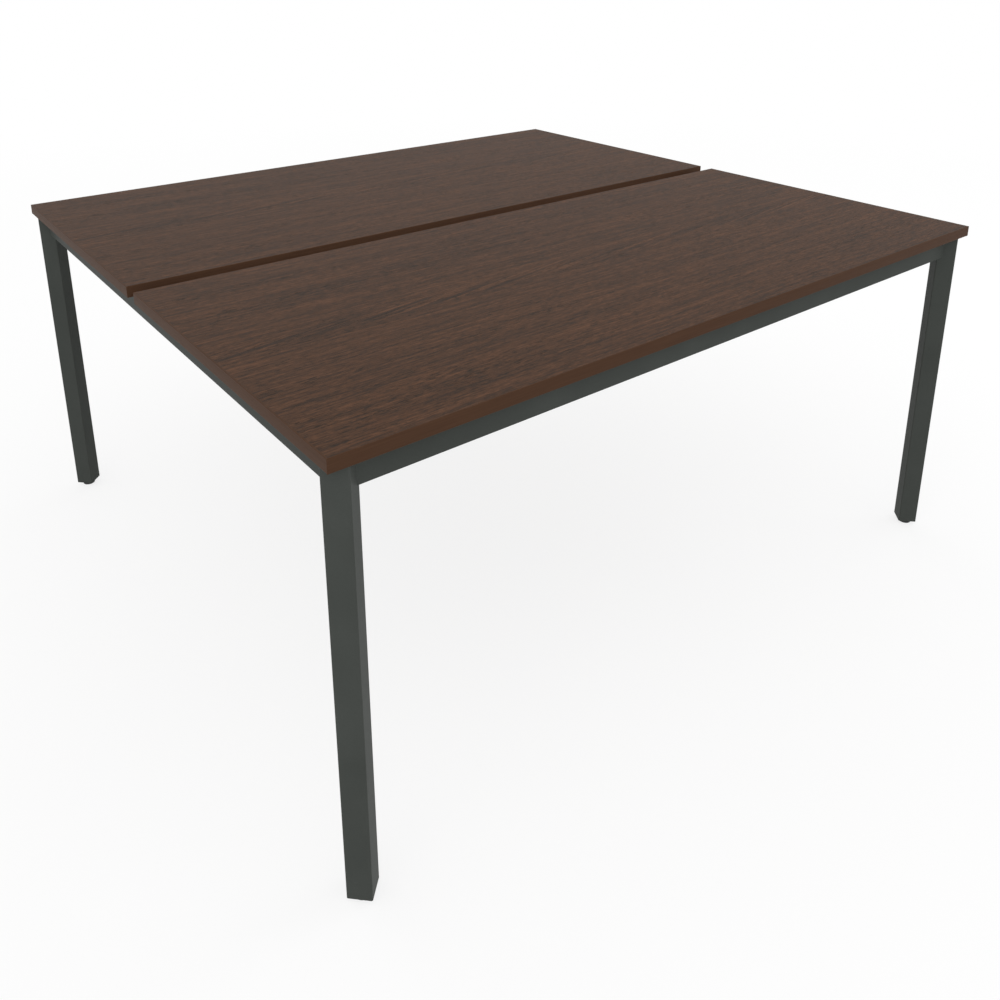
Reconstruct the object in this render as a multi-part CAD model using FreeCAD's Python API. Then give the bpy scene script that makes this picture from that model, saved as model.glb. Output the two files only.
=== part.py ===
import FreeCAD, Part
import math
import os

# Two-place bench desk: two tops back to back with a cable gap between them,
# on four square tube legs turned a quarter diagonal way at the corners and
# joined by slim tube beams. Millimetres. The origin is on the floor under the
# middle of the desk, X runs along the long edges, Y from front to rear, Z up.

V = FreeCAD.Vector

# Whole desk
desk_length = 1600.0
desk_height = 760.0

# Tops: melamine faced chipboard with an edge band on all four sides
top_depth = 728.0
top_thickness = 22.0
cable_gap = 38.0
band_thickness = 2.0

# Legs: square steel tube, turned so that its edges point along X and Y
leg_side = 40.0
leg_wall = 2.0
leg_corner_radius = 2.5
leg_setback = 4.2

# Outer beams: flat steel tube, notched at the ends to seat on the legs' edges
beam_height = 48.0
beam_width = 16.0
beam_wall = 1.5
beam_corner_radius = 1.5

# Inner beams: under each top, set back from the cable gap
inner_beam_height = 40.0
inner_beam_width = 16.0
inner_beam_setback = 60.0

# Corner plates: bent steel plate across each corner, with a wing on each beam
corner_plate_thickness = 4.0
corner_plate_height = 40.0
corner_plate_reach = 45.0
corner_wing_length = 46.0
wing_screw_edge = 12.0

# Leg bolts: threaded rod from a nut plate in the leg through the corner plate
leg_bolt_radius = 4.0
leg_bolt_spacing = 20.0
leg_bolt_tail = 3.0
leg_nut_flats = 13.0
leg_nut_height = 6.5
leg_washer_radius = 8.0
leg_washer_thickness = 1.6
nut_plate_width = 24.0
nut_plate_thickness = 6.0

# Machine screws of the corner plates and the end plates, in rivet nuts
screw_radius = 3.0
screw_length = 14.0
screw_head_flats = 10.0
screw_head_height = 4.0
rivet_nut_radius = 4.5
rivet_nut_length = 12.0

# End plates of the inner beams
end_plate_thickness = 4.0
end_plate_width = 70.0
end_plate_screw_spacing = 48.0

# Tabs that hold the tops, welded to the beams, and their wood screws
tab_thickness = 3.0
tab_reach = 26.0
tab_width = 30.0
tab_hole_inset = 12.0
tab_place_shares = (-0.36, 0.0, 0.36)
wood_screw_radius = 2.25
wood_screw_length = 16.0
wood_screw_head_radius = 4.6
wood_screw_head_height = 2.8
pilot_tip_room = 1.0

# Levelling feet: a threaded plug in the leg, a stud with a hexagon collar,
# and a round pad that the stud turns in
plug_height = 25.0
plug_side_clearance = 0.1
foot_thread_radius = 5.0
foot_thread_length = 38.0
foot_collar_flats = 16.0
foot_collar_height = 4.0
foot_pivot_radius = 4.0
foot_pivot_length = 3.0
foot_pad_radius = 14.0
foot_pad_height = 5.5
foot_pad_top_radius = 1.2
foot_pad_heel_chamfer = 0.8

# Clearances and the overrun of every cut
thread_clearance = 0.05
bolt_hole_clearance = 0.5
pivot_end_clearance = 0.4
overrun = 5.0

# How close to a direction an edge has to run to count as along it
parallel_share = 0.999

# Levels and places worked out from the sizes above
top_underside = desk_height - top_thickness
leg_bottom = foot_pad_height + foot_collar_height
desk_depth = top_depth + cable_gap + top_depth
leg_inset = leg_setback + leg_side / math.sqrt(2)
leg_x = desk_length / 2 - leg_inset
leg_y = desk_depth / 2 - leg_inset
leg_face = leg_side / 2
beam_middle = top_underside - beam_height / 2
end_beam_face = leg_x - beam_width / 2
inner_beam_y = cable_gap / 2 + inner_beam_setback + inner_beam_width / 2
inner_beam_middle = top_underside - inner_beam_height / 2
inner_beam_half = end_beam_face - end_plate_thickness

SIDES = {"left": -1, "right": 1}
ROWS = {"front": -1, "rear": 1}


def box(x_size, y_size, z_size, centre):
    """A box by its sizes and its middle."""
    corner = centre - V(x_size / 2, y_size / 2, z_size / 2)
    return Part.makeBox(x_size, y_size, z_size, corner)


def rod(radius, start, end):
    """A round rod between two points."""
    return Part.makeCylinder(radius, (end - start).Length, start, end - start)


def hexagon(flats, start, end):
    """A hexagonal prism between two points, by its width across flats."""
    ring = Part.makePolygon(
        [V(flats / math.sqrt(3) * math.cos(turn), flats / math.sqrt(3) * math.sin(turn), 0)
         for turn in [math.radians(60 * k) for k in range(7)]]
    )
    prism = Part.Face(ring).extrude(V(0, 0, (end - start).Length))
    prism.Placement = FreeCAD.Placement(start, FreeCAD.Rotation(V(0, 0, 1), end - start))
    return prism


def prism(points, bottom, height):
    """An upright prism on a closed outline of (x, y) points."""
    outline = [V(x, y, bottom) for x, y in points]
    return Part.Face(Part.makePolygon(outline + outline[:1])).extrude(V(0, 0, height))


def drilled(solid, start, end, radius):
    """The solid with a round hole between two points."""
    return solid.cut(rod(radius, start, end))


def turned_square(side, bottom, height, centre):
    """An upright square bar turned so that its edges point along X and Y."""
    bar = Part.makeBox(side, side, height, V(-side / 2, -side / 2, bottom))
    bar.rotate(V(0, 0, 0), V(0, 0, 1), 45)
    bar.translate(centre)
    return bar


def long_edges(solid, direction):
    """The straight edges of a solid that run along one direction."""
    found = []
    for edge in solid.Edges:
        along = edge.Vertexes[-1].Point - edge.Vertexes[0].Point
        if along.Length > 0 and abs(along.dot(direction)) > parallel_share * along.Length * direction.Length:
            found.append(edge)
    return found


class Corner:
    """One corner of the frame, with X and Y counted inward from its leg."""

    def __init__(self, row, side):
        self.name = row + "_" + side
        self.inward_x = -SIDES[side]
        self.inward_y = -ROWS[row]
        self.leg = V(-self.inward_x * leg_x, -self.inward_y * leg_y, 0)

    def at(self, u, v, z):
        """The point at u and v inward from the leg's middle, at height z."""
        return self.leg + V(self.inward_x * u, self.inward_y * v, z)

    def out(self, distance, z):
        """The point at a distance from the leg's middle on the inward diagonal."""
        return self.at(distance / math.sqrt(2), distance / math.sqrt(2), z)

    def bolt_heights(self):
        return [beam_middle - leg_bolt_spacing / 2, beam_middle + leg_bolt_spacing / 2]

    def wing_screws(self):
        """Each wing screw as its point on the beam's face and its inward direction."""
        bend = corner_plate_reach * math.sqrt(2) - beam_width / 2
        face = beam_width / 2
        places = [bend + wing_screw_edge, bend + corner_wing_length - wing_screw_edge]
        along_x = [(self.at(far, face, beam_middle), V(0, self.inward_y, 0)) for far in places]
        along_y = [(self.at(face, far, beam_middle), V(self.inward_x, 0, 0)) for far in places]
        return along_x, along_y


CORNERS = [Corner(row, side) for row in ROWS for side in SIDES]


def end_plate_screws(row, side):
    """The screws of an inner beam's end plate: point on the end beam and inward direction."""
    inward = V(-SIDES[side], 0, 0)
    middle = V(SIDES[side] * end_beam_face, ROWS[row] * inner_beam_y, inner_beam_middle)
    step = V(0, end_plate_screw_spacing / 2, 0)
    return [(middle - step, inward), (middle + step, inward)]


def machine_screw(face_point, inward, grip):
    """A hexagon screw through a plate of thickness grip on a beam's face."""
    seat = face_point + inward * grip
    head = hexagon(screw_head_flats, seat, seat + inward * screw_head_height)
    return head.fuse(rod(screw_radius, seat - inward * screw_length, seat)).removeSplitter()


def rivet_nut(face_point, inward):
    """A threaded bush in a beam's wall, flush with the face."""
    tail = face_point - inward * rivet_nut_length
    return rod(rivet_nut_radius, tail, face_point).cut(rod(screw_radius + thread_clearance, tail, face_point))


def rivet_hole(face_point, inward):
    """The hole in a beam's wall that a rivet nut sits in."""
    half_wall = inward * (beam_wall / 2)
    middle = face_point - half_wall
    return rod(rivet_nut_radius, middle - inward * beam_wall, middle + inward * beam_wall)


def tab_places(row):
    """Where the tabs of one top stand: x, the beam face's y and the way they reach."""
    outer = ROWS[row] * (leg_y - beam_width / 2)
    inner = ROWS[row] * (inner_beam_y + inner_beam_width / 2)
    places = []
    for share in tab_place_shares:
        places.append((share * desk_length, outer, -ROWS[row]))
        places.append((share * desk_length, inner, ROWS[row]))
    return places


def board(row):
    """The core of one top, with the pilot holes of its wood screws."""
    middle_y = ROWS[row] * (cable_gap / 2 + top_depth / 2)
    core = box(desk_length - 2 * band_thickness, top_depth - 2 * band_thickness, top_thickness,
               V(0, middle_y, top_underside + top_thickness / 2))
    depth = wood_screw_length - tab_thickness + pilot_tip_room
    for x, face_y, way in tab_places(row):
        foot = V(x, face_y + way * (tab_reach - tab_hole_inset), top_underside)
        core = drilled(core, foot, foot + V(0, 0, depth), wood_screw_radius + thread_clearance)
    return core


def band(row, place):
    """One edge band of a top: outer and gap run the full length, left and right fit between."""
    middle = V(0, ROWS[row] * (cable_gap / 2 + top_depth / 2), top_underside + top_thickness / 2)
    if place in SIDES:
        middle.x = SIDES[place] * (desk_length - band_thickness) / 2
        return box(band_thickness, top_depth - 2 * band_thickness, top_thickness, middle)
    way = ROWS[row] if place == "outer" else -ROWS[row]
    middle.y += way * (top_depth - band_thickness) / 2
    return box(desk_length, band_thickness, top_thickness, middle)


def leg(corner):
    """A leg tube with the two holes of its bolts in the inward wall."""
    height = top_underside - leg_bottom
    tube = turned_square(leg_side, leg_bottom, height, corner.leg)
    tube = tube.makeFillet(leg_corner_radius, long_edges(tube, V(0, 0, 1)))
    tube = tube.cut(turned_square(leg_side - 2 * leg_wall, leg_bottom, height, corner.leg))
    for z in corner.bolt_heights():
        tube = drilled(tube, corner.out(leg_face - leg_wall - leg_wall, z), corner.out(leg_face + leg_wall, z),
                       leg_bolt_radius + bolt_hole_clearance)
    return tube


def tube_beam(length, width, height, wall, radius, direction, centre):
    """A flat tube along X or Y with rounded long edges."""
    along_x = direction.x > 0
    sizes = (length, width, height) if along_x else (width, length, height)
    bores = (length, width - 2 * wall, height - 2 * wall) if along_x else (width - 2 * wall, length, height - 2 * wall)
    tube = box(*sizes, centre)
    tube = tube.makeFillet(radius, long_edges(tube, direction))
    return tube.cut(box(*bores, centre))


def outer_beam(name):
    """A front, rear, left or right beam, notched on the legs and holed for its rivet nuts."""
    if name in ROWS:
        ends = [corner for corner in CORNERS if corner.name.startswith(name)]
        beam = tube_beam(2 * leg_x, beam_width, beam_height, beam_wall, beam_corner_radius,
                         V(1, 0, 0), V(0, ROWS[name] * leg_y, beam_middle))
        screws = [screw for corner in ends for screw in corner.wing_screws()[0]]
    else:
        ends = [corner for corner in CORNERS if corner.name.endswith(name)]
        beam = tube_beam(2 * leg_y, beam_width, beam_height, beam_wall, beam_corner_radius,
                         V(0, 1, 0), V(SIDES[name] * leg_x, 0, beam_middle))
        screws = [screw for corner in ends for screw in corner.wing_screws()[1]]
        screws += [screw for row in ROWS for screw in end_plate_screws(row, name)]
    for corner in ends:
        beam = beam.cut(turned_square(leg_side, top_underside - beam_height - overrun,
                                      beam_height + 2 * overrun, corner.leg))
    for face_point, inward in screws:
        beam = beam.cut(rivet_hole(face_point, inward))
    return beam


def inner_beam(row):
    """The beam under a top's inner half, between its two end plates."""
    return tube_beam(2 * inner_beam_half, inner_beam_width, inner_beam_height, beam_wall, beam_corner_radius,
                     V(1, 0, 0), V(0, ROWS[row] * inner_beam_y, inner_beam_middle))


def end_plate(row, side):
    """The plate welded to one end of an inner beam and screwed to the end beam."""
    x = SIDES[side] * (end_beam_face - end_plate_thickness / 2)
    plate = box(end_plate_thickness, end_plate_width, inner_beam_height,
                V(x, ROWS[row] * inner_beam_y, inner_beam_middle))
    for face_point, inward in end_plate_screws(row, side):
        plate = drilled(plate, face_point - inward * overrun, face_point + inward * (end_plate_thickness + overrun),
                        screw_radius + bolt_hole_clearance)
    return plate


def corner_plate(corner):
    """The bent plate across one corner, a wing on each beam and the bolts through its middle."""
    face = beam_width / 2
    bend = corner_plate_reach * math.sqrt(2) - face
    tip = bend + corner_wing_length
    inner_bend = bend + corner_plate_thickness * math.tan(math.radians(22.5))
    inner_face = face + corner_plate_thickness
    outline = [(tip, face), (bend, face), (face, bend), (face, tip),
               (inner_face, tip), (inner_face, inner_bend), (inner_bend, inner_face), (tip, inner_face)]
    bottom = beam_middle - corner_plate_height / 2
    placed = [corner.at(u, v, 0) for u, v in outline]
    plate = prism([(point.x, point.y) for point in placed], bottom, corner_plate_height)
    for z in corner.bolt_heights():
        plate = drilled(plate, corner.out(corner_plate_reach - overrun, z),
                        corner.out(corner_plate_reach + corner_plate_thickness + overrun, z),
                        leg_bolt_radius + bolt_hole_clearance)
    along_x, along_y = corner.wing_screws()
    for face_point, inward in along_x + along_y:
        plate = drilled(plate, face_point - inward * overrun,
                        face_point + inward * (corner_plate_thickness + overrun),
                        screw_radius + bolt_hole_clearance)
    return plate


def nut_plate(corner):
    """The threaded bar inside a leg, against its inward wall."""
    far = leg_face - leg_wall
    bar = Part.makeBox(nut_plate_thickness, nut_plate_width, corner_plate_height,
                       V(far - nut_plate_thickness, -nut_plate_width / 2, beam_middle - corner_plate_height / 2))
    bar.rotate(V(0, 0, 0), V(0, 0, 1), math.degrees(math.atan2(corner.inward_y, corner.inward_x)))
    bar.translate(corner.leg)
    for z in corner.bolt_heights():
        bar = drilled(bar, corner.out(far - nut_plate_thickness, z), corner.out(far, z),
                      leg_bolt_radius + thread_clearance)
    return bar


def leg_bolts(corner):
    """The two threaded rods of one corner."""
    start = leg_face - leg_wall - nut_plate_thickness
    end = corner_plate_reach + corner_plate_thickness + leg_washer_thickness + leg_nut_height + leg_bolt_tail
    return [rod(leg_bolt_radius, corner.out(start, z), corner.out(end, z)) for z in corner.bolt_heights()]


def leg_washers(corner):
    """The washers under the nuts of one corner."""
    near = corner_plate_reach + corner_plate_thickness
    far = near + leg_washer_thickness
    return [drilled(rod(leg_washer_radius, corner.out(near, z), corner.out(far, z)),
                    corner.out(near, z), corner.out(far, z), leg_bolt_radius + bolt_hole_clearance)
            for z in corner.bolt_heights()]


def leg_nuts(corner):
    """The nuts of one corner, on the washers."""
    near = corner_plate_reach + corner_plate_thickness + leg_washer_thickness
    far = near + leg_nut_height
    return [drilled(hexagon(leg_nut_flats, corner.out(near, z), corner.out(far, z)),
                    corner.out(near, z), corner.out(far, z), leg_bolt_radius + thread_clearance)
            for z in corner.bolt_heights()]


def tabs(row):
    """The tabs of one top, each with its screw hole."""
    made = []
    for x, face_y, way in tab_places(row):
        tab = box(tab_width, tab_reach, tab_thickness,
                  V(x, face_y + way * tab_reach / 2, top_underside - tab_thickness / 2))
        hole = V(x, face_y + way * (tab_reach - tab_hole_inset), top_underside)
        made.append(drilled(tab, hole - V(0, 0, tab_thickness), hole, wood_screw_radius + bolt_hole_clearance))
    return made


def wood_screws(row):
    """The screws that go up through the tabs of one top into its board."""
    made = []
    for x, face_y, way in tab_places(row):
        seat = V(x, face_y + way * (tab_reach - tab_hole_inset), top_underside - tab_thickness)
        head = rod(wood_screw_head_radius, seat - V(0, 0, wood_screw_head_height), seat)
        shank = rod(wood_screw_radius, seat, seat + V(0, 0, wood_screw_length))
        made.append(head.fuse(shank).removeSplitter())
    return made


def foot_plug(corner):
    """The threaded plug in a leg's lower end, flush with the tube."""
    side = leg_side - 2 * leg_wall - 2 * plug_side_clearance
    plug = turned_square(side, leg_bottom, plug_height, corner.leg)
    return drilled(plug, corner.leg + V(0, 0, leg_bottom), corner.leg + V(0, 0, leg_bottom + plug_height),
                   foot_thread_radius + thread_clearance)


def foot_stud(corner):
    """The stud: thread above, hexagon collar, and a pivot below that turns in the pad."""
    low = corner.leg + V(0, 0, foot_pad_height)
    high = corner.leg + V(0, 0, leg_bottom)
    collar = hexagon(foot_collar_flats, low, high)
    thread = rod(foot_thread_radius, high, high + V(0, 0, foot_thread_length))
    pivot = rod(foot_pivot_radius, low - V(0, 0, foot_pivot_length), low)
    return collar.fuse(thread).fuse(pivot).removeSplitter()


def foot_pad(corner):
    """The round pad, with the blind bore that the stud's pivot turns in."""
    floor = corner.leg
    crown = corner.leg + V(0, 0, foot_pad_height)
    pad = rod(foot_pad_radius, floor, crown)
    rims = [edge for edge in pad.Edges if edge.Closed and edge.Length > foot_pad_radius]
    upper = [edge for edge in rims if edge.BoundBox.ZMin > foot_pad_height / 2]
    pad = pad.makeFillet(foot_pad_top_radius, upper)
    rims = [edge for edge in pad.Edges if edge.Closed and edge.BoundBox.ZMax < foot_pad_height / 2]
    pad = pad.makeChamfer(foot_pad_heel_chamfer, rims)
    bore_floor = crown - V(0, 0, foot_pivot_length + pivot_end_clearance)
    return drilled(pad, bore_floor, crown, foot_pivot_radius + thread_clearance)


def desk_nodes():
    """Every named node of the desk, as a list of its solids."""
    nodes = {}
    for row in ROWS:
        nodes[row + "_top_board"] = [board(row)]
        for place in ("outer", "gap", "left", "right"):
            nodes[row + "_top_" + place + "_band"] = [band(row, place)]
        nodes[row + "_top_tabs"] = tabs(row)
        nodes[row + "_top_screws"] = wood_screws(row)
        nodes[row + "_inner_beam"] = [inner_beam(row)]
        for side in SIDES:
            nodes[row + "_" + side + "_end_plate"] = [end_plate(row, side)]
    for name in list(ROWS) + list(SIDES):
        nodes[name + "_beam"] = [outer_beam(name)]
    for corner in CORNERS:
        screws = [screw for wing in corner.wing_screws() for screw in wing]
        nodes[corner.name + "_leg"] = [leg(corner)]
        nodes[corner.name + "_corner_plate"] = [corner_plate(corner)]
        nodes[corner.name + "_leg_bolts"] = leg_bolts(corner)
        nodes[corner.name + "_plate_screws"] = [machine_screw(*screw, corner_plate_thickness) for screw in screws]
        nodes[corner.name + "_foot_plug"] = [foot_plug(corner)]
        nodes[corner.name + "_foot_stud"] = [foot_stud(corner)]
        nodes[corner.name + "_foot_pad"] = [foot_pad(corner)]
    nodes["leg_nut_plates"] = [nut_plate(corner) for corner in CORNERS]
    nodes["leg_washers"] = [washer for corner in CORNERS for washer in leg_washers(corner)]
    nodes["leg_nuts"] = [nut for corner in CORNERS for nut in leg_nuts(corner)]
    corner_screws = [screw for corner in CORNERS for wing in corner.wing_screws() for screw in wing]
    nodes["corner_rivet_nuts"] = [rivet_nut(*screw) for screw in corner_screws]
    plate_screws = [screw for row in ROWS for side in SIDES for screw in end_plate_screws(row, side)]
    nodes["end_plate_rivet_nuts"] = [rivet_nut(*screw) for screw in plate_screws]
    nodes["end_plate_screws"] = [machine_screw(*screw, end_plate_thickness) for screw in plate_screws]
    return nodes


def main():
    """Builds every node and writes it to the parts folder."""
    os.makedirs("parts", exist_ok=True)
    nodes = desk_nodes()
    for name, solids in nodes.items():
        shape = solids[0] if len(solids) == 1 else Part.makeCompound(solids)
        shape.exportStep(os.path.join("parts", name + ".step"))
        volume = sum(solid.Volume for solid in solids)
        print(name, len(solids), "solids", round(volume), "mm3", "valid" if shape.isValid() else "BROKEN")
    print(len(nodes), "nodes")


main()
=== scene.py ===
"""A two-place office desk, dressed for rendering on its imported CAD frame.

Lengths are in metres. X runs along the desk from left to right, Y from front to rear, and Z up from
the floor, as in the CAD model.
"""

import logging
import math
from dataclasses import dataclass, field
from enum import Enum
from typing import Any, Callable, Sequence

import bmesh
import bpy
from mathutils import Matrix, Vector
from mathutils.geometry import intersect_line_line_2d


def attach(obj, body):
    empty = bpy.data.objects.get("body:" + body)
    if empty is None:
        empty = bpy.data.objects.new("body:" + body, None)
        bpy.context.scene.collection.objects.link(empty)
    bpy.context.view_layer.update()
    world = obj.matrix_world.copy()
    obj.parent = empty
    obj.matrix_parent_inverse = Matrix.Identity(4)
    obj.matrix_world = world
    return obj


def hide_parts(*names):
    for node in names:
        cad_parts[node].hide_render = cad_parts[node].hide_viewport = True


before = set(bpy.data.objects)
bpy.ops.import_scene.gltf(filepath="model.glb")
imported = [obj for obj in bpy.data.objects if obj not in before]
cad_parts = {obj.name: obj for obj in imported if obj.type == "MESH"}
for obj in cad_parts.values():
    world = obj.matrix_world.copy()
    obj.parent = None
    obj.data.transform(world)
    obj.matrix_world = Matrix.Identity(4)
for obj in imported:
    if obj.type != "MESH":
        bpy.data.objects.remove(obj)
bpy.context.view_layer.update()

log = logging.getLogger("office_desk")

Colour = tuple[float, float, float, float]
Outline = Sequence[tuple[float, float]]
Steps = tuple[tuple[float, float], ...]

MM = 0.001
FULL_TURN = 2 * math.pi
SIDES = 48
ORIGIN = Matrix.Identity(4)


class Row(Enum):
    """The two halves of the desk, with the sign of their Y."""

    FRONT = -1
    REAR = 1


class Side(Enum):
    """The two ends of the desk, with the sign of their X."""

    LEFT = -1
    RIGHT = 1


class Run(Enum):
    """The way that an edge band runs, and its printed grain with it."""

    ALONG_X = "along_x"
    ALONG_Y = "along_y"


def srgb(*levels: int) -> Colour:
    """The linear colour for red, green and blue from 0 to 255, as a screen writes them."""
    shares = [level / 255 for level in levels]
    return (*(s / 12.92 if s <= 0.04045 else ((s + 0.055) / 1.055) ** 2.4 for s in shares), 1.0)


@dataclass(frozen=True)
class Cells:
    """A noise: its cells to the metre on three axes, its finer layers, their strength, and its seed."""

    first: float
    second: float
    third: float
    detail: float = 2.0
    roughness: float = 0.5
    seed: float = 0.0


@dataclass(frozen=True)
class Socket:
    """A node's output in a graph. Python's operators on it add Math nodes."""

    graph: "Graph"
    output: bpy.types.NodeSocket

    def math(self, operation: str, *values: Any) -> "Socket":
        """One Math node."""
        return self.graph.node("ShaderNodeMath", {"operation": operation}, dict(enumerate(values)))

    def __add__(self, other: Any) -> "Socket":
        """The sum."""
        return self.math("ADD", self, other)

    def __sub__(self, other: Any) -> "Socket":
        """The difference."""
        return self.math("SUBTRACT", self, other)

    def __rsub__(self, other: Any) -> "Socket":
        """The difference, with this socket second."""
        return self.math("SUBTRACT", other, self)

    def __mul__(self, other: Any) -> "Socket":
        """The product."""
        return self.math("MULTIPLY", self, other)

    __radd__ = __add__
    __rmul__ = __mul__

    def sign(self) -> "Socket":
        """Minus one, nought or one."""
        return self.math("SIGN", self)

    def distance(self) -> "Socket":
        """The value without its sign."""
        return self.math("ABSOLUTE", self)

    def larger(self, other: Any) -> "Socket":
        """The larger of two values."""
        return self.math("MAXIMUM", self, other)

    def rise(self, low: float, high: float) -> "Socket":
        """A smooth step, nought at the first value and one at the second, which may be the lower one."""
        inputs = {"Value": self, "From Min": low, "From Max": high}
        return self.graph.node("ShaderNodeMapRange", {"interpolation_type": "SMOOTHSTEP"}, inputs)


@dataclass
class Graph:
    """The node tree of a material or of the world, and the type of its output node."""

    tree: bpy.types.NodeTree
    end: str

    def __post_init__(self) -> None:
        """Empties the tree."""
        self.tree.nodes.clear()

    def new_node(self, kind: str, settings: dict[str, Any], inputs: dict[Any, Any]) -> bpy.types.Node:
        """Adds one node.

        Args:
            kind: The node's type in Blender.
            settings: The node's own settings, set before its sockets.
            inputs: Values or sockets for the node's inputs, by name or number.

        Returns:
            The node.
        """
        made = self.tree.nodes.new(kind)
        for key, value in settings.items():
            setattr(made, key, value)
        for key, value in inputs.items():
            if isinstance(value, Socket):
                self.tree.links.new(value.output, made.inputs[key])
            else:
                made.inputs[key].default_value = value
        return made

    def node(self, kind: str, settings: dict[str, Any], inputs: dict[Any, Any], output: Any = 0) -> Socket:
        """One output of a new node, by its name or number."""
        return Socket(self, self.new_node(kind, settings, inputs).outputs[output])

    def close(self, shader: Socket) -> None:
        """Links a shader to the tree's output node."""
        self.new_node(self.end, {}, {"Surface": shader})

    def mix(self, share: Any, first: Any, second: Any) -> Socket:
        """A mix of two colours, by the second one's share."""
        return self.node("ShaderNodeMix", {"data_type": "RGBA"}, {"Factor": share, 6: first, 7: second}, 2)

    def shades(self, tone: Socket, colours: Sequence[Colour], steps: Steps) -> Socket:
        """Colours that follow one another as a tone rises.

        Args:
            tone: The tone.
            colours: The colours, from the lowest tone to the highest.
            steps: Where the tone changes to each colour after the first.

        Returns:
            The colour at the tone.
        """
        colour: Any = colours[0]
        for following, step in zip(colours[1:], steps):
            colour = self.mix(tone.rise(*step), colour, following)
        return colour


class Surface(Graph):
    """The node tree of one new material, with the point's X, Y and Z in the desk's frame."""

    def __init__(self, name: str) -> None:
        """Makes the material and finds the point's place.

        Args:
            name: The material's name.
        """
        self.material = bpy.data.materials.new(name)
        self.material.use_nodes = True
        super().__init__(self.material.node_tree, "ShaderNodeOutputMaterial")
        point = self.node("ShaderNodeTexCoord", {}, {}, "Object")
        self.x, self.y, self.z = (self.node("ShaderNodeSeparateXYZ", {}, {0: point}, k) for k in range(3))

    def noise(self, cells: Cells, *point: Socket) -> Socket:
        """Fractal noise.

        Args:
            cells: The sizes of the noise.
            point: Its three coordinates, where they aren't the desk's own X, Y and Z.

        Returns:
            The noise, around one half.
        """
        first, second, third = point or (self.x, self.y, self.z)
        place = {0: first * cells.first, 1: second * cells.second, 2: third * cells.third + cells.seed}
        inputs = {"Vector": self.node("ShaderNodeCombineXYZ", {}, place), "Scale": 1.0}
        inputs |= {"Detail": cells.detail, "Roughness": cells.roughness}
        return self.node("ShaderNodeTexNoise", {}, inputs, "Fac")

    def finish(self, colour: Socket, roughness: Socket, height: Socket, depth: float,
               gloss: float = 0.5, metallic: float = 0.0) -> bpy.types.Material:
        """Closes the tree with a Principled shader.

        Args:
            colour: The surface's colour.
            roughness: Its roughness.
            height: The height of its fine relief.
            depth: What a height of one stands for, in metres.
            gloss: Its specular level.
            metallic: One for a metal.

        Returns:
            The finished material.
        """
        bump = self.node("ShaderNodeBump", {}, {"Strength": 1.0, "Distance": depth, "Height": height})
        inputs = {"Base Color": colour, "Roughness": roughness, "Normal": bump}
        inputs |= {"Specular IOR Level": gloss, "Metallic": metallic}
        self.close(self.node("ShaderNodeBsdfPrincipled", {}, inputs))
        return self.material


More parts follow.
